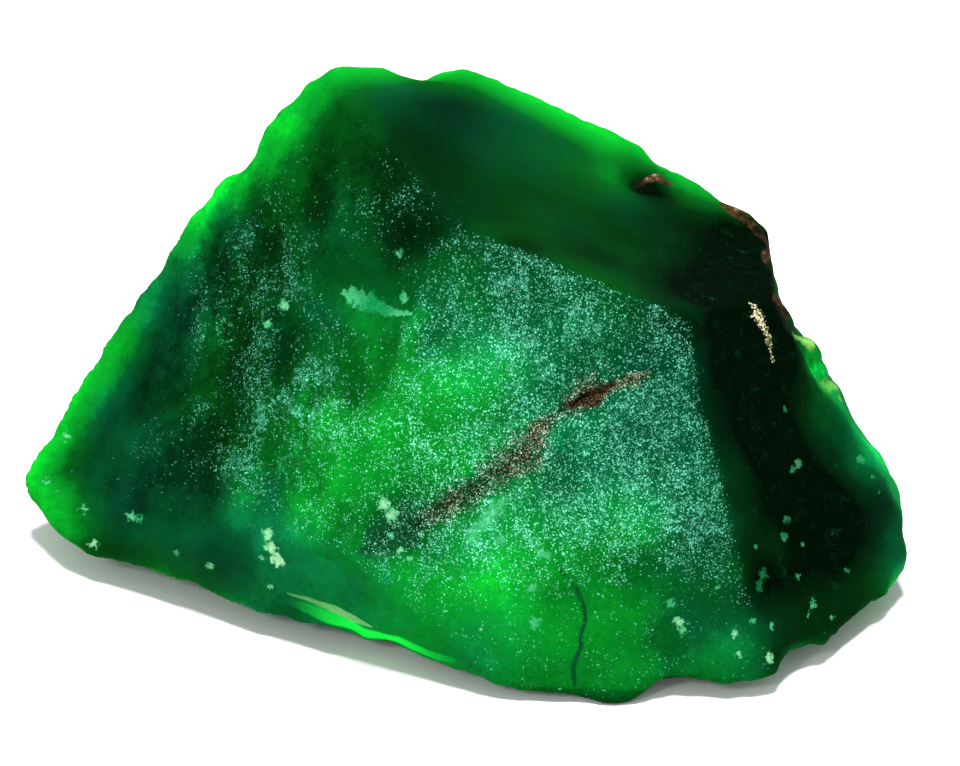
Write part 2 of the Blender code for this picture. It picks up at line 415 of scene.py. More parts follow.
def break_height(points, corners, bulge=0.0):
    """Height above a break: over the plane of its corners, less the bulge between them.

    The bulge is nothing on the circle through the corners. It grows with the square of the
    distance from that circle, as on a ball.
    """
    a, b, c = np.array(corners)
    normal = unit(np.cross(b - a, c - a))
    if (CORE - a) @ normal > 0:
        normal = -normal
    ab, ac = b - a, c - a
    turn = np.cross(ab, ac)
    centre = a + (np.cross(turn, ab) * (ac @ ac) + np.cross(ac, turn) * (ab @ ab)) / (2 * turn @ turn)
    beyond = ((points - centre) ** 2).sum(-1) - (a - centre) @ (a - centre)
    return (points - a) @ normal + bulge * beyond / BULGE_SPAN**2


def heights(points):
    """Height above every break, ledge, chip and the base, one row each."""
    lift = SWELL_DEPTH * waves(points, *SWELL)
    rows = []
    for name, (*corners, bulge) in BREAKS.items():
        own = FOLD_DEPTH * folds(points) if name == "broad_front" else 0.0
        rows.append(break_height(points, corners, bulge) - lift - own)
    for riser, tread in LEDGES.values():
        rows.append(np.minimum(break_height(points, riser), break_height(points, tread)) - lift)
    for centre, radius in CHIPS.values():
        rows.append(radius - np.linalg.norm(points - np.array(centre), axis=-1))
    rows.append(-points[:, 2])
    return np.stack(rows)


def outside(points):
    """The highest of the heights, with slightly rounded ridges between them, and lumps added."""
    rows = heights(points)
    front, glossy = rows[BROAD_FRONT], rows[GLOSSY_TOP]
    worn = np.maximum(front, glossy) + WEAR * np.log1p(np.exp(-np.abs(front - glossy) / WEAR))
    rows = np.vstack([rows, worn - WEAR_START])
    top = rows.max(0)
    body = top + EDGE_ROUNDING * np.log(np.exp((rows - top) / EDGE_ROUNDING).sum(0))
    for centre, radius in LUMPS.values():
        body = np.minimum(body, np.linalg.norm(points - np.array(centre), axis=-1) - radius)
    return body


def cage():
    """A block cut into cells, as a direction out of the core for each corner, and the cells.

    The cells' corners are whole steps along the block's three sides. Taking the tangent of
    each step spreads the cells evenly over the directions.
    """
    count = np.round(BLOCK / CELL).astype(int)
    steps, quads, made = [], [], 0
    for axis in range(3):
        u, v = [k for k in range(3) if k != axis]
        for side in (0, count[axis]):
            i, j = np.meshgrid(np.arange(count[u] + 1), np.arange(count[v] + 1), indexing="ij")
            step = np.zeros(i.shape + (3,), int)
            step[..., u], step[..., v], step[..., axis] = i, j, side
            index = made + np.arange(i.size).reshape(i.shape)
            quad = np.stack([index[:-1, :-1], index[1:, :-1], index[1:, 1:], index[:-1, 1:]], -1)
            turned = (side == 0) != (axis == 1)
            quads.append(quad.reshape(-1, 4)[:, ::-1 if turned else 1])
            steps.append(step.reshape(-1, 3))
            made += i.size
    shared, index = np.unique(np.concatenate(steps), axis=0, return_inverse=True)
    quads = index.reshape(-1)[np.concatenate(quads)]
    even = np.tan((shared / count * 2 - 1) * np.pi / 4 * BUNCHING)
    return unit(even * BLOCK), quads


def shoot(directions):
    """The surface point in each direction, found by halving the way to it."""
    near = np.zeros(len(directions))
    far = np.full(len(directions), REACH)
    for _ in range(HALVINGS):
        middle = (near + far) / 2
        out = outside(CORE + directions * middle[:, None]) > 0
        near = np.where(out, near, middle)
        far = np.where(out, middle, far)
    return CORE + directions * near[:, None]


def point_normals(points, quads):
    """The direction straight out of the surface at each corner: the mean of its cells' own."""
    a, b, c, d = points[quads].transpose(1, 0, 2)
    own = np.cross(c - a, d - b)
    total = np.zeros_like(points)
    for corner in range(4):
        for axis in range(3):
            total[:, axis] += np.bincount(quads[:, corner], own[:, axis], len(points))
    return unit(total)


def shares(rows, softness=PLAIN):
    """How much of each point belongs to each break, as weights that add up to one."""
    weights = np.exp((rows - rows.max(0)) / softness)
    return weights / weights.sum(0)


def onto_stone(pixels):
    """The surface points seen at pixels: the first step inside the stone, then halving back."""
    lines = sight(np.array(pixels, float))
    start = eye + MIDDLE
    steps = CAMERA_DISTANCE + np.arange(-SEEN_REACH, SEEN_REACH, SEEN_STEP)
    tested = start + lines[:, None] * steps[:, None]
    inside = outside(tested.reshape(-1, 3)).reshape(tested.shape[:2]) < 0
    far = steps[inside.argmax(1)]
    near = far - SEEN_STEP
    for _ in range(SEEN_HALVINGS):
        middle = (near + far) / 2
        inside = outside(start + lines * middle[:, None]) < 0
        near = np.where(inside, near, middle)
        far = np.where(inside, middle, far)
    return start + lines * far[:, None]


def nearness(points, spots):
    """1 at the middle of the nearest spot, 0 at its edge, down to -1 beyond, and its own value."""
    places = onto_stone([spot[0] for spot in spots])
    best = np.full(len(points), -1.0)
    value = np.zeros(len(points))
    for place, (_, radius, own) in zip(places, spots):
        near = 1 - np.linalg.norm(points - place, axis=1) / radius
        value = np.where(near > best, own, value)
        best = np.maximum(best, near)
    return best, value


def cloud(points, spots):
    """The sum of soft round patches: each spot's own value, fading over its radius."""
    total = np.zeros(len(points))
    for place, (_, radius, own) in zip(onto_stone([spot[0] for spot in spots]), spots):
        total += own * np.exp(-(((points - place) / radius) ** 2).sum(-1))
    return total


def path_nearness(points, path):
    """1 on a line through pixels, 0 at its half width, -1 beyond, and the value drawn there."""
    places = onto_stone([pixel for pixel, _, _ in path])
    best = np.full(len(points), -1.0)
    value = np.zeros(len(points))
    for number, (start, end) in enumerate(zip(places, places[1:])):
        (_, width, own), (_, next_width, next_own) = path[number : number + 2]
        along = np.clip((points - start) @ (end - start) / ((end - start) @ (end - start)), 0.0, 1.0)
        away = np.linalg.norm(points - start - along[:, None] * (end - start), axis=1)
        near = 1 - away / (width + (next_width - width) * along)
        value = np.where(near > best, own + (next_own - own) * along, value)
        best = np.maximum(best, near)
    return best, value


def ribs(points):
    """Uneven ribs up the broad front: waves that run nearly along one direction."""
    return waves(points, *RIBS, FOLD_ACROSS, RIB_STRAYING)


def relief(points, rows):
    """The height of the fine relief: each break's waves, ribs and arcs, less crumbs and marks."""
    share = shares(rows)
    kinds = [COARSENESS.get(name, HIDDEN_COARSENESS) for name in BREAKS]
    kinds += [HIDDEN_COARSENESS] * (len(rows) - len(kinds) - 1) + [(0.0, 0.0, 0.0)]
    broad, fine, crumbs = np.array(kinds).T @ share
    height = broad * waves(points, *BROAD_RELIEF) + fine * waves(points, *FINE_RELIEF)
    height += share[BROAD_FRONT] * RIB_DEPTH * ribs(points)
    blow = np.linalg.norm(points - ARC_BLOW, axis=1) + ARC_WANDER * waves(points, *BROAD_RELIEF)
    height += share[GLOSSY_TOP] * ARC_DEPTH * np.cos(2 * np.pi * blow / ARC_PITCH)
    order = np.sort(rows[: len(BREAKS) + len(LEDGES)], axis=0)
    near_ridge = np.exp((order[-2] - order[-1]) / CRUMBLE_WIDTH)
    height -= crumbs * near_ridge * np.clip(waves(points, *CRUMBLE), *CRUMBLE_RANGE)
    for (depth, full), near in (
        (BRUISE_CUT, nearness(points, BRUISES)[0]),
        (BRUISE_CUT, path_nearness(points, FRONT_CHIP)[0]),
        (VEIN_CUT, path_nearness(points, VEIN)[0]),
        (PIT_CUT, path_nearness(points, PIT)[0]),
        (CRACK_CUT, path_nearness(points, CRACK)[0]),
    ):
        height -= depth * ease(near, 0.0, full)
    return height * (1 - share[-1])


directions, quads = cage()
smooth_points = shoot(directions)
smooth_normals = point_normals(smooth_points, quads)
rows = heights(smooth_points)
points = smooth_points + smooth_normals * relief(smooth_points, rows)[:, None]
points[:, 2] = np.where(smooth_points[:, 2] < BASE_FLATNESS, 0.0, np.maximum(points[:, 2], 0.0))


# Glow and shade zones: painted glow where light would shine through, and painted shade where the
# stone is thick, in hollows and along ridges.
# The stone's colour. It is clouded inside, with painted light in it: painted shade where it is thick,
# and a painted glow, as of light shining through, in zones and at thin rims. Each break has its own
# tone, and the front breaks sparkle like sugar with painted glints.
# Zones: the pixel of the photograph where each lies, its radius, and how much brighter it is.
GLOW_AND_SHADE_ZONES = {
    "glow_left_of_vein": ((435, 405), 5.5, 0.25),
    "glow_beside_ribs": ((345, 475), 3.5, 0.12),
    "middle_of_front": ((330, 400), 5.0, 0.07),
    "beside_middle": ((297, 438), 2.2, 0.13),
    "vein_tip": ((408, 534), 2.4, -0.20),
    "glow_at_chip": ((362, 278), 3.0, 0.08),
    "glow_below_vein": ((440, 590), 5.0, 0.16),
    "glow_in_toe": ((540, 580), 6.5, 0.25),
    "glow_low_front": ((360, 590), 5.0, 0.12),
    "left_of_sugar": ((500, 370), 4.5, 0.08),
    "right_of_toe": ((692, 655), 4.0, 0.09),
    "sugar_edge": ((738, 470), 2.0, 0.27),
    "sugar_low": ((653, 518), 2.2, 0.18),
    "beside_sugar": ((706, 348), 1.5, 0.13),
    "below_shoulder": ((720, 405), 1.6, 0.06),
    "sugar_corner": ((742, 525), 1.8, 0.18),
    "foot_edge": ((745, 590), 2.5, -0.16),
    "dark_left": ((165, 440), 5.0, -0.06),
    "dark_ribs": ((262, 362), 3.5, -0.15),
    "dark_low_ribs": ((212, 455), 2.2, -0.12),
    "dark_above_knee": ((398, 228), 3.2, -0.18),
    "dim_high_left": ((290, 205), 3.5, -0.04),
    "dark_upper_left": ((232, 238), 3.5, -0.16),
    "left_rim_high": ((232, 186), 2.2, 0.12),
    "dark_middle_high": ((302, 268), 2.6, -0.09),
    "dark_over_ridge": ((598, 256), 2.5, -0.10),
    "sugar_foot": ((699, 540), 2.0, -0.11),
    "sugar_at_shoulder": ((660, 320), 2.2, -0.08),
    "dark_notch": ((526, 247), 1.6, -0.12),
    "dark_top": ((520, 215), 5.0, -0.09),
    "dark_top_left": ((450, 145), 4.0, -0.08),
    "dark_corner_of_top": ((688, 290), 3.0, -0.33),
    "crest_rim_right": ((595, 155), 3.0, 0.07),
    "dim_crest_at_hollow": ((640, 160), 2.0, -0.20),
    "before_hollow": ((612, 178), 1.8, 0.14),
    "dark_top_right": ((702, 222), 4.0, -0.25),
    "dim_top_right": ((615, 222), 3.0, -0.09),
    "dark_at_knee": ((445, 250), 2.5, -0.12),
    "dark_under_peak": ((405, 158), 3.6, -0.14),
    "dim_left_rim": ((150, 290), 4.5, -0.17),
    "dim_crest_rim": ((435, 84), 4.0, -0.17),
    "dim_left_foot": ((110, 545), 4.5, -0.32),
    "dark_shoulder": ((752, 280), 5.0, -0.44),
    "dark_right_edge": ((772, 300), 4.0, -0.25),
    "crest_hollow": ((650, 190), 1.4, -0.60),
    "dark_crest_end": ((746, 234), 2.2, -0.38),
    "dark_under_skin": ((728, 222), 1.6, -0.16),
    "black_beside_step": ((764, 428), 2.6, -0.30),
    "black_middle": ((803, 495), 3.2, -0.32),
    "black_low": ((780, 575), 2.8, -0.13),
    "black_right": ((843, 530), 2.4, -0.22),
    "black_high": ((737, 370), 2.4, -0.15),
    "wing_lump": ((815, 366), 2.0, 0.44),
    "under_lump": ((818, 420), 2.2, 0.34),
    "lower_right": ((868, 580), 2.6, 0.20),
    "inside_right": ((822, 537), 1.8, 0.11),
    "over_foot": ((777, 542), 1.8, 0.26),
    "below_sugar": ((740, 572), 1.6, 0.14),
    "foot_right_of_toe": ((765, 622), 2.2, 0.18),
    "low_middle": ((280, 528), 4.0, 0.17),
    "left_corner": ((95, 500), 2.5, 0.12),
    "low_left_light": ((160, 540), 3.0, 0.11),
    "wing_edge": ((862, 458), 2.5, 0.42),
    "right_tip": ((895, 535), 1.8, 0.16),
    "wing": ((820, 455), 1.8, 0.08),
    "right_foot": ((800, 625), 4.5, 0.16),
}
# Part of each break's tone is painted shade, as of light lost in thick stone; the right slope is
# painted near black.
# How bright each break is. Those that the photograph hides have the hidden tone.
TONES = {
    "broad_front": 0.40,
    "sugar_face": 0.44,
    "glossy_top": 0.38,
    "right_slope": 0.03,
    "left_end": 0.50,
    "low_left": 0.42,
    "right_back": 0.38,
    "under_front": 0.60,
}
HIDDEN_TONE = 0.48
# The thin edge between these breaks and the back has a painted glow, as of light shining through
# it: from how deep to how deep, and how much brighter and leafier it is.
RIMMED = ("broad_front", "sugar_face", "glossy_top", "right_slope", "low_left")
RIM_WIDTHS = (0.4, 4.8)
PAINTED_RIM_GLOW = 0.37
RIM_LEAF = 0.7
RIM_DIM_LOW_LEFT = 0.6
# Past the shoulder the painted glow is dim on the high part of the rim, and the low part is bluer.
RIM_END = (16.8, 19.2)
RIM_END_HEIGHTS = (13.0, 17.0)
RIM_LOSS = 0.9
RIM_DIM_RIGHT = 0.35
RIM_TEAL_RIGHT = 1.4
TONE_WAVES = 0.03
TOP_CALM = 0.7
RIB_TONE = 0.03
# The right slope's painted shade, dark as thick stone, stays on its own side of the ridge.
SLOPE_BLEED = 0.12
# Just above the floor the foot is in its own shade.
FOOT_SHADE = 0.22
FOOT_HEIGHTS = (0.2, 1.3)
# Mottles: where the clouds in the stone are small, slanting and dark.
MOTTLES = {
    "upper_left": ((250, 235), 6.0, 0.55),
    "ribs": ((205, 350), 5.0, 0.45),
    "under_peak": ((370, 180), 4.0, 0.30),
    "low_left": ((180, 470), 4.0, 0.30),
    "middle": ((300, 440), 4.0, 0.35),
    "lump": ((815, 366), 2.0, 0.80),
}
# Teal clouds, where the green turns bluer, and below zero leaf green ones.
TEAL = {
    "low_left": ((200, 555), 6.0, 0.6),
    "sugar": ((640, 420), 7.0, 0.5),
    "left_crest": ((430, 115), 4.0, 0.4),
    "crest": ((505, 95), 4.5, 0.5),
    "top": ((500, 195), 6.0, 0.15),
    "toe": ((555, 565), 6.0, -0.45),
    "left": ((125, 480), 4.5, 0.6),
    "front_glow": ((360, 460), 5.0, -0.9),
    "front": ((255, 250), 6.0, -0.20),
    "right_of_top": ((660, 215), 5.0, 0.1),
    "wing": ((845, 450), 4.5, 0.2),
    "foot": ((330, 590), 5.0, 0.4),
    "left_rim": ((165, 275), 5.0, 0.85),
    "left_rim_low": ((85, 400), 3.5, 0.5),
    "left_rim_high": ((222, 190), 3.0, 0.5),
    "low_slope": ((740, 600), 3.5, 0.3),
    "ribs": ((250, 400), 4.0, -0.5),
    "under_peak": ((375, 180), 2.5, -0.4),
}
# Sparkle, painted glints on pale grains: the pixel where each patch lies, its radius, and how much of
# it is bright grains.
SPARKLE = {
    "middle_of_front": ((300, 425), 6.5, 0.42),
    "left_of_front": ((235, 280), 4.5, 0.20),
    "under_peak": ((370, 180), 4.0, 0.10),
    "beside_vein": ((445, 465), 5.0, 0.12),
    "low_ribs": ((240, 440), 3.0, 0.14),
    "bare_middle": ((352, 468), 2.8, -0.26),
    "bare_low": ((225, 515), 3.0, -0.14),
    "bare_low_middle": ((372, 508), 3.0, -0.24),
    "high_middle": ((300, 392), 3.0, 0.06),
    "under_glow": ((275, 275), 4.0, 0.15),
    "low_front": ((420, 590), 4.0, 0.06),
    "low_left": ((185, 470), 4.0, 0.10),
    "vein_tip": ((402, 534), 2.2, -0.22),
    "above_chip": ((415, 215), 3.5, 0.10),
}
# The sugar face is coated with grains and painted glints, thinly at its toe and fully above the sugar
# heights.
SUGAR_DENSITY = 0.50
SUGAR_PATCHES = {
    "top_of_sugar": ((510, 265), 3.5, 0.22),
    "middle_of_sugar": ((600, 340), 4.0, -0.10),
    "right_of_sugar": ((675, 495), 5.0, 0.10),
}
# Where the sugar spills over its ridge onto the right slope, and how far.
SPILL = {
    "shoulder": ((682, 322), 3.5, 0.75),
    "below_shoulder": ((708, 440), 4.0, 0.15),
}
SUGAR_HEIGHTS = (5.0, 10.5)
TOE_DENSITY = 0.08
FRONT_DENSITY = 0.02
# On the front the sparkle lies in streaks, and it ends at the ridges and fades on the rim.
STREAK_RIBS = 0.35
STREAK_WAVES = 0.6
STREAK_RANGE = (-0.7, 1.0)
STREAK_LEAST = 0.55
STREAK_GAIN = 0.95
SUGAR_LOSS_OFF_FRONT = 0.98
SUGAR_LOSS_ON_RIM = 0.85
GLOSSY_SHARES = (0.6, 1.0)
SLOPE_GLOSS = 0.3


def rim(rows):
    """1 on the ridge between the front and the back of the stone, down to 0 further in."""
    front = [name in RIMMED for name in BREAKS]
    back = np.logical_not(front) & np.array([not name.startswith("under") for name in BREAKS])
    breaks = rows[: len(BREAKS)]
    depth = -np.minimum(breaks[front].max(0), breaks[back].max(0))
    return 1 - ease(depth, *RIM_WIDTHS)


looks = rows.copy()
looks[RIGHT_SLOPE] -= cloud(smooth_points, SPILL.values())
share = shares(looks)
crisp_share = shares(looks, CRISP)
soft_share = shares(looks, CLOUDY)
soft_share[RIGHT_SLOPE] *= SLOPE_BLEED
soft_share /= soft_share.sum(0)
slope = share[RIGHT_SLOPE]
above_floor = smooth_points[:, 2]
broad_waves = waves(smooth_points, *BROAD_RELIEF)
front_ribs = ribs(smooth_points)

past_shoulder = ease(smooth_points[:, 0], *RIM_END)
on_rim = rim(rows) * (1 - RIM_LOSS * past_shoulder * ease(above_floor, *RIM_END_HEIGHTS))

tone = np.array([TONES.get(name, HIDDEN_TONE) for name in BREAKS]) @ soft_share[: len(BREAKS)]
tone += HIDDEN_TONE * soft_share[len(BREAKS):].sum(0)
# The right slope is painted near black, as shade in thick stone.
tone += (TONES["right_slope"] - tone) * slope
# A painted glow along the thin rims, as of light shining through them.
tone += PAINTED_RIM_GLOW * on_rim * (1 - RIM_DIM_RIGHT * past_shoulder - RIM_DIM_LOW_LEFT * share[LOW_LEFT])
# Painted glow and painted shade in zones.
tone += cloud(smooth_points, GLOW_AND_SHADE_ZONES.values())
tone += TONE_WAVES * broad_waves * (1 - TOP_CALM * share[GLOSSY_TOP])
tone += RIB_TONE * front_ribs * share[BROAD_FRONT]
tone -= FOOT_SHADE * (1 - ease(above_floor, *FOOT_HEIGHTS))

sugar = (cloud(smooth_points, SPARKLE.values()) + FRONT_DENSITY) * soft_share[BROAD_FRONT]
streaks = STREAK_RIBS * front_ribs + STREAK_WAVES * broad_waves
sugar *= STREAK_LEAST + STREAK_GAIN * ease(streaks, *STREAK_RANGE)
height_share = ease(above_floor, *SUGAR_HEIGHTS)
coated = SUGAR_DENSITY + cloud(smooth_points, SUGAR_PATCHES.values())
sugar_share = soft_share[SUGAR_FACE] / (soft_share[BROAD_FRONT] + soft_share[SUGAR_FACE])
sugar += sugar_share * (TOE_DENSITY + (coated - TOE_DENSITY) * height_share)
off_front = 1 - crisp_share[BROAD_FRONT] - crisp_share[SUGAR_FACE]
sugar *= (1 - SUGAR_LOSS_OFF_FRONT * off_front) * (1 - SUGAR_LOSS_ON_RIM * on_rim)

rim_leaf = RIM_LEAF * on_rim * (1 - RIM_TEAL_RIGHT * past_shoulder)
surface_fields = {
    "tone": tone,
    "sugar": sugar,
    "gloss": ease(share[GLOSSY_TOP], *GLOSSY_SHARES) + SLOPE_GLOSS * slope,
    "even": sugar_share * height_share,
    "mottled": cloud(smooth_points, MOTTLES.values()),
    "teal": cloud(smooth_points, TEAL.values()) - rim_leaf,
    "crack": np.maximum(
        path_nearness(smooth_points, CRACK)[0],
        path_nearness(smooth_points, CRACK_BRANCH)[0],
    ),
}
marks = {"bruise": nearness(smooth_points, BRUISES)}
for name, path in {
    "vein": VEIN,
    "pit": PIT,
    "haze": HAZE,
    "front_chip": FRONT_CHIP,
    "foot_strip": PAINTED_FOOT_GLOW,
    "foot_chip": FOOT_CHIP,
    "cream": CREAM_STREAK,
    "lump_edge": PAINTED_LUMP_HIGHLIGHT,
    "skin": SKIN,
    "hollow_skin": HOLLOW_SKIN,
}.items():
    marks[name] = path_nearness(smooth_points, path)
for name, (near, own) in marks.items():
    surface_fields[name] = near
    surface_fields[name + "_value"] = own

mesh = bpy.data.meshes.new("stone_surface")
mesh.vertices.add(len(points))
mesh.vertices.foreach_set("co", ((points - MIDDLE) * MM).astype(np.float32).ravel())
mesh.loops.add(quads.size)
mesh.loops.foreach_set("vertex_index", quads.ravel().astype(np.int32))
mesh.polygons.add(len(quads))
mesh.polygons.foreach_set("loop_start", np.arange(0, quads.size, 4, dtype=np.int32))
mesh.update(calc_edges=True)
mesh.shade_smooth()
for name, values in surface_fields.items():
    mesh.attributes.new(name, "FLOAT", "POINT").data.foreach_set("value", values.astype(np.float32))
stone = bpy.data.objects.new("stone_surface", mesh)
bpy.context.collection.objects.link(stone)


class Value:
    """A socket of a material's nodes, so that + - * / between values add Math nodes."""

    def __init__(self, tree, socket=None):
        self.tree = tree
        self.socket = socket

    def make(self, kind, settings, inputs, output=0):
        """A new node: its settings first, then each input's value or link."""
        node = self.tree.nodes.new("ShaderNode" + kind)
        for name, setting in settings.items():
            if name == "stops":
                ramp = node.color_ramp
                while len(ramp.elements) < len(setting):
                    ramp.elements.new(1.0)
                for stop, (position, colour) in zip(ramp.elements, setting):
                    stop.position = position
                    stop.color = (*colour, 1.0)
            else:
                setattr(node, name, setting)
        for name, given in inputs.items():
            if isinstance(given, Value):
                self.tree.links.new(given.socket, node.inputs[name])
            else:
                node.inputs[name].default_value = given
        return Value(self.tree, node.outputs[output])

    def math(self, operation, first, second):
        """One Math node over two values or sockets."""
        return self.make("Math", {"operation": operation}, {0: first, 1: second})

    def __add__(self, other):
        return self.math("ADD", self, other)

    __radd__ = __add__

    def __mul__(self, other):
        return self.math("MULTIPLY", self, other)

    __rmul__ = __mul__

    def __sub__(self, other):
        return self.math("SUBTRACT", self, other)

    def __rsub__(self, other):
        return self.math("SUBTRACT", other, self)

    def above(self, low, high):
        """0 below low and 1 above high, with a smooth S between them."""
        inputs = {"Value": self, "From Min": low, "From Max": high}
        return self.make("MapRange", {"interpolation_type": "SMOOTHSTEP"}, inputs)

    def between(self, low, high):
        """Low where this value is 0, and high where it is 1."""
        return self * (high - low) + low

    def ramp(self, stops):
        """The colour that the stops give for this value."""
        return self.make("ValToRGB", {"stops": stops}, {0: self})

    def mix(self, first, second):
        """The first colour where this value is 0, and the second where it is 1."""
        return self.make("Mix", {"data_type": "RGBA"}, {0: self, 6: first, 7: second}, 2)


def attribute(start, name):
    """One of the stone's own fields, read back from its surface."""
    return start.make("Attribute", {"attribute_name": name}, {}, "Fac")


# Ramps: where each colour stands between dark and bright, and its red, green and blue.
LEAF_GREENS = (
    (0.0, (0.0002, 0.0025, 0.0004)),
    (0.25, (0.0005, 0.0165, 0.0014)),
    (0.5, (0.0008, 0.068, 0.0055)),
    (0.75, (0.0016, 0.260, 0.0150)),
    (1.0, (0.0030, 0.800, 0.0180)),
)
TEAL_GREENS = (
    (0.0, (0.0002, 0.0025, 0.0010)),
    (0.25, (0.0004, 0.0165, 0.0066)),
    (0.5, (0.0010, 0.068, 0.0260)),
    (0.75, (0.0030, 0.260, 0.0800)),
    (1.0, (0.0050, 0.800, 0.1600)),
)
VEIN_BROWNS = (
    (0.0, (0.002, 0.008, 0.003)),
    (0.3, (0.010, 0.014, 0.005)),
    (0.5, (0.065, 0.066, 0.030)),
    (0.75, (0.220, 0.220, 0.140)),
    (1.0, (0.700, 0.680, 0.500)),
)
PIT_BROWNS = (
    (0.2, (0.004, 0.003, 0.002)),
    (0.5, (0.028, 0.011, 0.004)),
    (0.8, (0.110, 0.048, 0.025)),
)
BRUISE_GREENS = (
    (0.0, (0.003, 0.180, 0.050)),
    (0.5, (0.050, 0.380, 0.150)),
    (1.0, (0.420, 0.800, 0.420)),
)
CHIP_GREENS = ((0.0, (0.010, 0.180, 0.050)), (1.0, (0.230, 0.600, 0.200)))
CREAMS = (
    (0.2, (0.010, 0.018, 0.006)),
    (0.5, (0.180, 0.160, 0.070)),
    (0.8, (0.700, 0.680, 0.420)),
)
# The painted highlight on the lump's edge.
LUMP_HIGHLIGHT_GREENS = ((0.0, (0.010, 0.220, 0.030)), (1.0, (0.240, 0.560, 0.110)))
SKIN_BROWNS = (
    (0.1, (0.004, 0.005, 0.002)),
    (0.5, (0.070, 0.026, 0.012)),
    (0.9, (0.420, 0.290, 0.190)),
)
# Single colours.
SHEEN_GREEN = (0.06, 0.50, 0.24, 1.0)
VEIN_SHADE = (0.002, 0.040, 0.014, 1.0)
CRACK_SHADE = (0.002, 0.030, 0.014, 1.0)
HAZE_GREEN = (0.08, 0.60, 0.22, 1.0)
# The painted glow of the foot strip.
FOOT_GLOW_GREEN = (0.006, 0.72, 0.05, 1.0)
SUGAR_VEIL = (0.05, 0.60, 0.36, 1.0)
# Painted glints on pale grains: dim where the tone is dark, bright where it is bright.
DIM_SPECK = (0.11, 0.52, 0.32, 1.0)
BRIGHT_SPECK = (0.25, 1.00, 0.66, 1.0)
VEIN_SPECK = (0.50, 0.58, 0.42, 1.0)

# Noises: wavelengths per millimetre, finer octaves and how rough they are. Two are stretched.
CLOUDS = (0.45, 4.0, 0.5)
RAGGED = (1.1, 6.0, 0.65)
PATCHY = (1.7, 5.0, 0.7)
FINE = (6.0, 3.0, 0.5)
FLAKY = (3.2, 3.0, 0.6)
HUES = (0.17, 3.0, 0.5)
PATCHES = (0.75, 4.0, 0.6)
CURLS = (2.4, 3.0, 0.65)
TONGUES = (0.75, 3.0, 0.5)
TONGUE_STRETCH = (1.0, 0.3, 0.3)
SLANTED = (1.5, 5.0, 0.65)
SLANTED_TURN = (0.0, -0.8, 0.0)
SLANTED_STRETCH = (1.0, 1.0, 0.4)

# Tone and hue: how far each noise shifts them, and where dark places stay even.
CLOUD_TONE = 0.12
PATCH_TONE = 0.18
FINE_TONE = 0.08
GLOSS_CALM = 0.7
DARK_CALM = (-0.1, 0.35)
MOTTLE_MIDDLE = 0.52
HUE_SWING = 1.4
HUE_START = 0.20
SUGAR_HUE = 0.8
VEIL_SHARE = 0.14

# Sparkle: noise breaks it into patches, curls and dark tongues. Pairs are the noise at which
# one starts and is full, or the share of grains at those two ends.
PATCH_RANGE = (0.40, 0.62)
PATCH_DENSITY = (0.40, 1.20)
CURL_RANGE = (0.38, 0.60)
CURL_DENSITY = (0.40, 1.30)
TONGUE_RANGE = (0.53, 0.60)
TONGUE_LOSS = 0.75
EVEN_DENSITY = 0.80
EVENNESS = 0.40
SPECK_SIZE = 0.078
BIG_SPECK_SIZE = 0.13
BIG_SPECK_SHARE = 0.14
SPECK_BLUR = (0.0, 0.06)
SPECK_STRENGTH = (0.10, 1.00)
EVEN_STRENGTH = (0.70, 1.00)
SPECK_TONES = (0.35, 0.80)
VEIN_SPECK_SHARE = (0.10, 1.00)

# The vein: a torn dark seam, brown grains that cover it, and a bare brown pit.
TEAR_RAGGED = 2.6
TEAR_FINE = 1.6
SEAM_TEAR = 0.9
SEAM_RANGE = (-0.95, 0.2)
SEAM_COVER = 0.72
BROWN_SIZE = 0.085
BROWN_TEAR = 1.2
BROWN_RANGE = (-0.10, 0.90)
BROWN_COVER = (0.30, 0.95)
BROWN_BLUR = (0.0, 0.05)
BROWN_SHADES = (0.16, 0.25, 0.70)
BROWN_VALUES = (0.08, 0.88)
BROWN_HIDES = 0.8
PIT_TEAR = 0.8
PIT_RANGE = (-0.05, 0.35)
PIT_COVER = 0.95
PIT_SHADES = (0.7, 0.5)
PIT_HIDES = 0.7

# The plain marks: how far noise tears the edge, where the cover starts and is full, how much
# of the stone it hides, its colours, and how far noise shifts its own shade.
FOOT_CHIP_FINISH = (0.8, (0.0, 0.3), 0.85, CHIP_GREENS, 0.8)
LUMP_EDGE_FINISH = (3.0, (-0.5, 0.6), 0.80, LUMP_HIGHLIGHT_GREENS, 1.2)
FRONT_CHIP_FINISH = (2.6, (0.0, 0.5), 0.80, BRUISE_GREENS, 0.6)
CREAM_FINISH = (3.0, (0.1, 0.6), 0.90, CREAMS, 2.4)
SKIN_FINISH = (2.0, (-0.2, 0.3), 0.90, SKIN_BROWNS, 1.8)
BRUISE_TEAR = 2.3
BRUISE_RANGE = (0.0, 0.40)
BRUISE_TONES = (-0.1, 0.45)
BRUISE_COVER = (0.35, 0.80)
BRUISE_FINE = 0.6
BRUISE_HEART_RANGE = (0.0, 1.2)
BRUISE_HEART = (-0.15, 0.15)
HAZE_TEAR = 1.2
HAZE_COVER = 0.35
STRIP_TEAR = 0.3
STRIP_RANGE = (0.0, 0.5)
CRACK_TEAR = 0.5
CRACK_RANGE = (0.60, 0.85)
CRACK_COVER = 0.85

# The surface and the inside: waxy, dull, and clear only a little.
WAXY = 0.55
GLOSS_SMOOTHS = 0.15
BRUISE_ROUGHENS = 0.2
GRAIN_STRENGTH = 0.5
GRAIN_DEPTH = 0.0001
FINE_GRAIN_SHARE = 0.5
GLOSS_FLATTENS = 0.9
# Plain gloss would lay a grey veil over the green, so it has none, and its sheen is green.
GLOSS_LEVEL = 0.0
BENDING = 1.45
CLEARNESS = 0.06
INSIDE_GREEN = (0.0, 0.86, 0.64, 1.0)
INSIDE_DENSITY = 2500.0


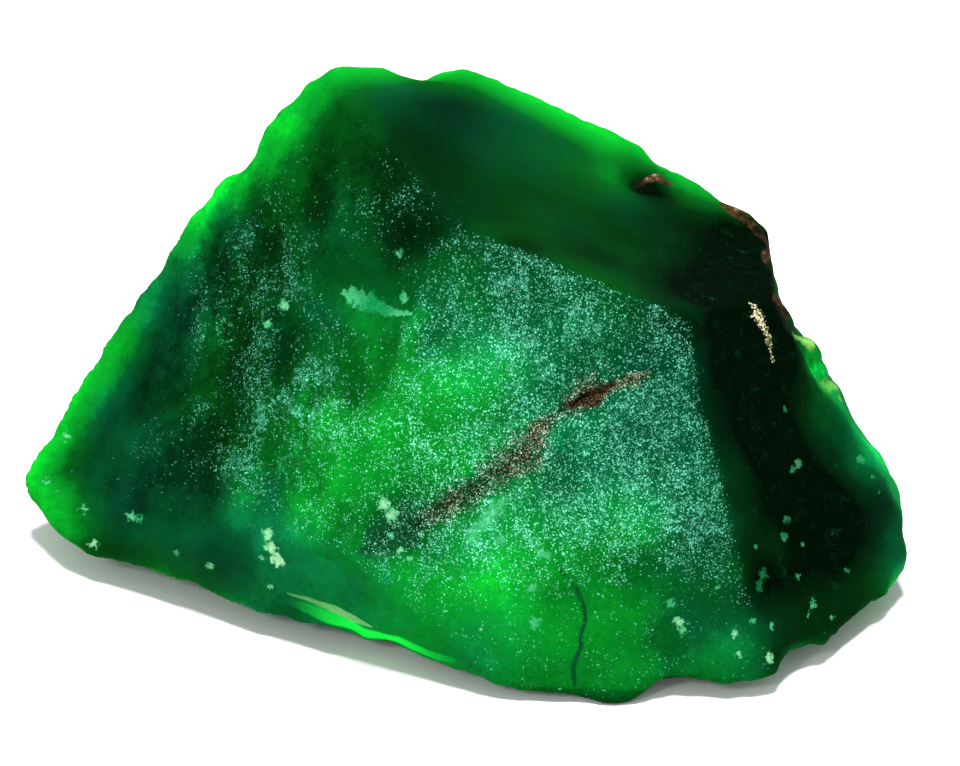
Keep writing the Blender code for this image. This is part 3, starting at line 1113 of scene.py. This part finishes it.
def noise(start, place, scale, detail, roughness):
    """Plain cloudy noise between 0 and 1, with its wavelengths counted per millimetre."""
    inputs = {"Vector": place, "Scale": scale, "Detail": detail, "Roughness": roughness}
    return start.make("TexNoise", {}, inputs)


def grains(start, place, size):
    """Little facets of one size: each one's chance and its strength, both between 0 and 1."""
    cells = start.make("TexVoronoi", {}, {"Vector": place, "Scale": 1 / size}, "Color")
    return [start.make("SeparateColor", {}, {0: cells}, part) for part in ("Red", "Green")]


def clouded_tone(start, place, gloss, clouds, patchy, fine):
    """The stone's tone with clouds in it, fewer where it is glossy or black, and its mottles."""
    uneven = clouds * CLOUD_TONE + patchy * PATCH_TONE + fine * FINE_TONE
    turned = {"Vector": place, "Rotation": SLANTED_TURN, "Scale": SLANTED_STRETCH}
    mottles = noise(start, start.make("Mapping", {}, turned), *SLANTED)
    tone = attribute(start, "tone")
    tone = tone + uneven * (1 - gloss * GLOSS_CALM) * tone.above(*DARK_CALM)
    return tone + (mottles - MOTTLE_MIDDLE) * attribute(start, "mottled")


def sparkle_density(start, place):
    """How much of each place is grains: its zone's share, in patches, curls and tongues."""
    upright = start.make("VectorMath", {"operation": "MULTIPLY"}, {0: place, 1: TONGUE_STRETCH})
    tongues = noise(start, upright, *TONGUES).above(*TONGUE_RANGE)
    patches = noise(start, place, *PATCHES).above(*PATCH_RANGE).between(*PATCH_DENSITY)
    curls = noise(start, place, *CURLS).above(*CURL_RANGE).between(*CURL_DENSITY)
    clusters = patches * curls * (1 - tongues * TONGUE_LOSS)
    clusters = clusters + (EVEN_DENSITY - clusters) * attribute(start, "even") * EVENNESS
    return attribute(start, "sugar") * clusters


def clouded_green(start, place, tone, density):
    """The tone's leaf green or teal, as the hue has it, under the thin veil of the sparkle."""
    hue = attribute(start, "teal") + (noise(start, place, *HUES) - 0.5) * HUE_SWING + HUE_START
    green = (hue + density * SUGAR_HUE).above(0.0, 1.0)
    green = green.mix(tone.ramp(LEAF_GREENS), tone.ramp(TEAL_GREENS))
    return (density * VEIL_SHARE).above(0.0, 1.0).mix(green, SUGAR_VEIL)


def veined(start, place, colour, ragged, fine):
    """The vein laid over the colour, with its dark seam and what it leaves bare for sparkle."""
    torn = ragged * TEAR_RAGGED + fine * TEAR_FINE
    vein = attribute(start, "vein")
    value = attribute(start, "vein_value")
    chance, strength = grains(start, place, BROWN_SIZE)
    seam = (vein + torn * SEAM_TEAR).above(*SEAM_RANGE)
    colour = (seam * SEAM_COVER).mix(colour, VEIN_SHADE)
    covered = (vein + torn * BROWN_TEAR).above(*BROWN_RANGE) * value.between(*BROWN_COVER)
    browned = (covered - chance).above(*BROWN_BLUR)
    least, plain, bright = BROWN_SHADES
    shade = strength * plain + strength * strength * strength * bright + least
    colour = browned.mix(colour, (shade * value.between(*BROWN_VALUES)).ramp(VEIN_BROWNS))
    pit = (attribute(start, "pit") + torn * PIT_TEAR).above(*PIT_RANGE)
    by_grain, by_value = PIT_SHADES
    shade = strength * by_grain + attribute(start, "pit_value") * by_value
    colour = (pit * PIT_COVER).mix(colour, shade.ramp(PIT_BROWNS))
    bare = (1 - browned * BROWN_HIDES) * (1 - pit * PIT_HIDES)
    return colour, seam * value.between(*VEIN_SPECK_SHARE), bare


def specks(start, place, density, size):
    """Grains of one size, as many as the density says, each with its own strength."""
    chance, strength = grains(start, place, size)
    return (density - chance).above(*SPECK_BLUR) * (strength * strength).between(*SPECK_STRENGTH)


def grains_and_painted_glints(start, place, colour, tone, density, on_vein):
    """Pale grains with painted glints laid over the colour, small ones and a few big ones, brownish
    on the vein.
    """
    small = specks(start, place, density, SPECK_SIZE)
    small = small * attribute(start, "even").between(*EVEN_STRENGTH)
    big = specks(start, place, density * BIG_SPECK_SHARE, BIG_SPECK_SIZE)
    lit = tone.above(*SPECK_TONES).mix(DIM_SPECK, BRIGHT_SPECK)
    return start.math("MAXIMUM", small, big).mix(colour, on_vein.mix(lit, VEIN_SPECK))


def marked(start, colour, name, edge_noise, shade_noise, finish):
    """A plain mark with a torn edge laid over the colour. Its own value picks its shade."""
    tear, bounds, cover, stops, shift = finish
    near = (attribute(start, name) + edge_noise * tear).above(*bounds)
    shade = attribute(start, name + "_value") + shade_noise * shift
    return (near * cover).mix(colour, shade.ramp(stops))


def stone_finish():
    """Clouded green stone, part clear: tone, with its painted glow and shade, picks the green, and
    pale grains with painted glints sparkle on it.
    """
    material = bpy.data.materials.new("green_rough")
    material.use_nodes = True
    tree = material.node_tree
    shader = tree.nodes["Principled BSDF"]
    start = Value(tree)
    place = start.make("TexCoord", {}, {}, "Object")
    place = start.make("VectorMath", {"operation": "SCALE"}, {0: place, "Scale": 1 / MM})
    kinds = (CLOUDS, RAGGED, PATCHY, FINE, FLAKY)
    clouds, ragged, patchy, fine, flaky = [noise(start, place, *kind) - 0.5 for kind in kinds]

    gloss = attribute(start, "gloss")
    tone = clouded_tone(start, place, gloss, clouds, patchy, fine)
    density = sparkle_density(start, place)
    colour = clouded_green(start, place, tone, density)
    colour, on_vein, bare = veined(start, place, colour, ragged, fine)
    colour = grains_and_painted_glints(start, place, colour, tone, density * bare, on_vein)

    haze = (attribute(start, "haze") + ragged * HAZE_TEAR).above(0.0, 1.0)
    colour = (haze * HAZE_COVER).mix(colour, HAZE_GREEN)
    # The foot strip: a painted glow, as of light shining through the thin foot.
    strip = (attribute(start, "foot_strip") + fine * STRIP_TEAR).above(*STRIP_RANGE)
    colour = (strip * attribute(start, "foot_strip_value")).mix(colour, FOOT_GLOW_GREEN)
    colour = marked(start, colour, "foot_chip", ragged, fine, FOOT_CHIP_FINISH)
    # The lump's edge: a painted highlight.
    colour = marked(start, colour, "lump_edge", ragged, fine, LUMP_EDGE_FINISH)

    bruise = attribute(start, "bruise") + flaky * BRUISE_TEAR
    bruised = bruise.above(*BRUISE_RANGE)
    heart = bruise.above(*BRUISE_HEART_RANGE).between(*BRUISE_HEART)
    paleness = attribute(start, "bruise_value") + fine * BRUISE_FINE + heart
    cover = bruised * tone.above(*BRUISE_TONES).between(*BRUISE_COVER)
    colour = cover.mix(colour, paleness.ramp(BRUISE_GREENS))
    colour = marked(start, colour, "front_chip", flaky, fine, FRONT_CHIP_FINISH)
    colour = marked(start, colour, "cream", ragged + fine, fine, CREAM_FINISH)
    colour = marked(start, colour, "skin", ragged, patchy, SKIN_FINISH)
    colour = marked(start, colour, "hollow_skin", ragged, patchy, SKIN_FINISH)
    crack = (attribute(start, "crack") + fine * CRACK_TEAR).above(*CRACK_RANGE)
    colour = (crack * CRACK_COVER).mix(colour, CRACK_SHADE)

    roughness = WAXY - gloss * GLOSS_SMOOTHS + bruised * BRUISE_ROUGHENS
    grain = (fine * FINE_GRAIN_SHARE + patchy) * (1 - gloss * GLOSS_FLATTENS)
    inputs = {"Height": grain, "Strength": GRAIN_STRENGTH, "Distance": GRAIN_DEPTH}
    tree.links.new(colour.socket, shader.inputs["Base Color"])
    tree.links.new(roughness.socket, shader.inputs["Roughness"])
    tree.links.new(start.make("Bump", {}, inputs).socket, shader.inputs["Normal"])
    shader.inputs["IOR"].default_value = BENDING
    shader.inputs["Specular IOR Level"].default_value = GLOSS_LEVEL
    shader.inputs["Specular Tint"].default_value = SHEEN_GREEN
    shader.inputs["Transmission Weight"].default_value = CLEARNESS
    inside = tree.nodes.new("ShaderNodeVolumeAbsorption")
    inside.inputs["Color"].default_value = INSIDE_GREEN
    inside.inputs["Density"].default_value = INSIDE_DENSITY
    tree.links.new(inside.outputs[0], tree.nodes["Material Output"].inputs["Volume"])
    return material


mesh.materials.append(stone_finish())
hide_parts("stone")
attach(stone, "root")


# The floor is a plain pale sheet, so bright that the picture shows it white.
FLOOR_HALF = 2.0
FLOOR_DROP = 0.00003
FLOOR_CORNERS = ((-1, -1), (1, -1), (1, 1), (-1, 1))
PAPER = (0.86, 0.87, 0.86, 1.0)
PAPER_ROUGHNESS = 0.8

sheet = bpy.data.meshes.new("floor")
corners = [(x * FLOOR_HALF, y * FLOOR_HALF, -FLOOR_DROP) for x, y in FLOOR_CORNERS]
sheet.from_pydata(corners, [], [(0, 1, 2, 3)])
paper = bpy.data.materials.new("paper")
paper.use_nodes = True
paper_shader = paper.node_tree.nodes["Principled BSDF"]
paper_shader.inputs["Base Color"].default_value = PAPER
paper_shader.inputs["Roughness"].default_value = PAPER_ROUGHNESS
sheet.materials.append(paper)
floor = bpy.data.objects.new("floor", sheet)
bpy.context.collection.objects.link(floor)


# Plain soft studio light: one lamp overhead, a weaker one over the camera, and a dim pale
# surround. Each lamp has its place in metres, its size and its power.
LAMPS = {
    "overhead": ((0.0, 0.02, 0.62), 0.09, 6.2),
    "front": ((-0.30, -0.35, 0.45), 0.10, 0.7),
}
SURROUND = (0.58, 0.59, 0.59, 1.0)
LAMP_AIM = np.array([0.0, 0.0, 0.012])

for name, (place, size, power) in LAMPS.items():
    lamp = bpy.data.lights.new(name, "AREA")
    lamp.size = size
    lamp.energy = power
    holder = bpy.data.objects.new(name, lamp)
    holder.location = place
    aim = LAMP_AIM - np.array(place)
    holder.rotation_euler = (
        np.arctan2(np.hypot(aim[0], aim[1]), -aim[2]),
        0.0,
        np.arctan2(-aim[0], aim[1]),
    )
    bpy.context.collection.objects.link(holder)

world = bpy.data.worlds.new("surround")
world.use_nodes = True
world.node_tree.nodes["Background"].inputs["Color"].default_value = SURROUND
bpy.context.scene.world = world
bpy.context.scene.view_settings.view_transform = "Standard"
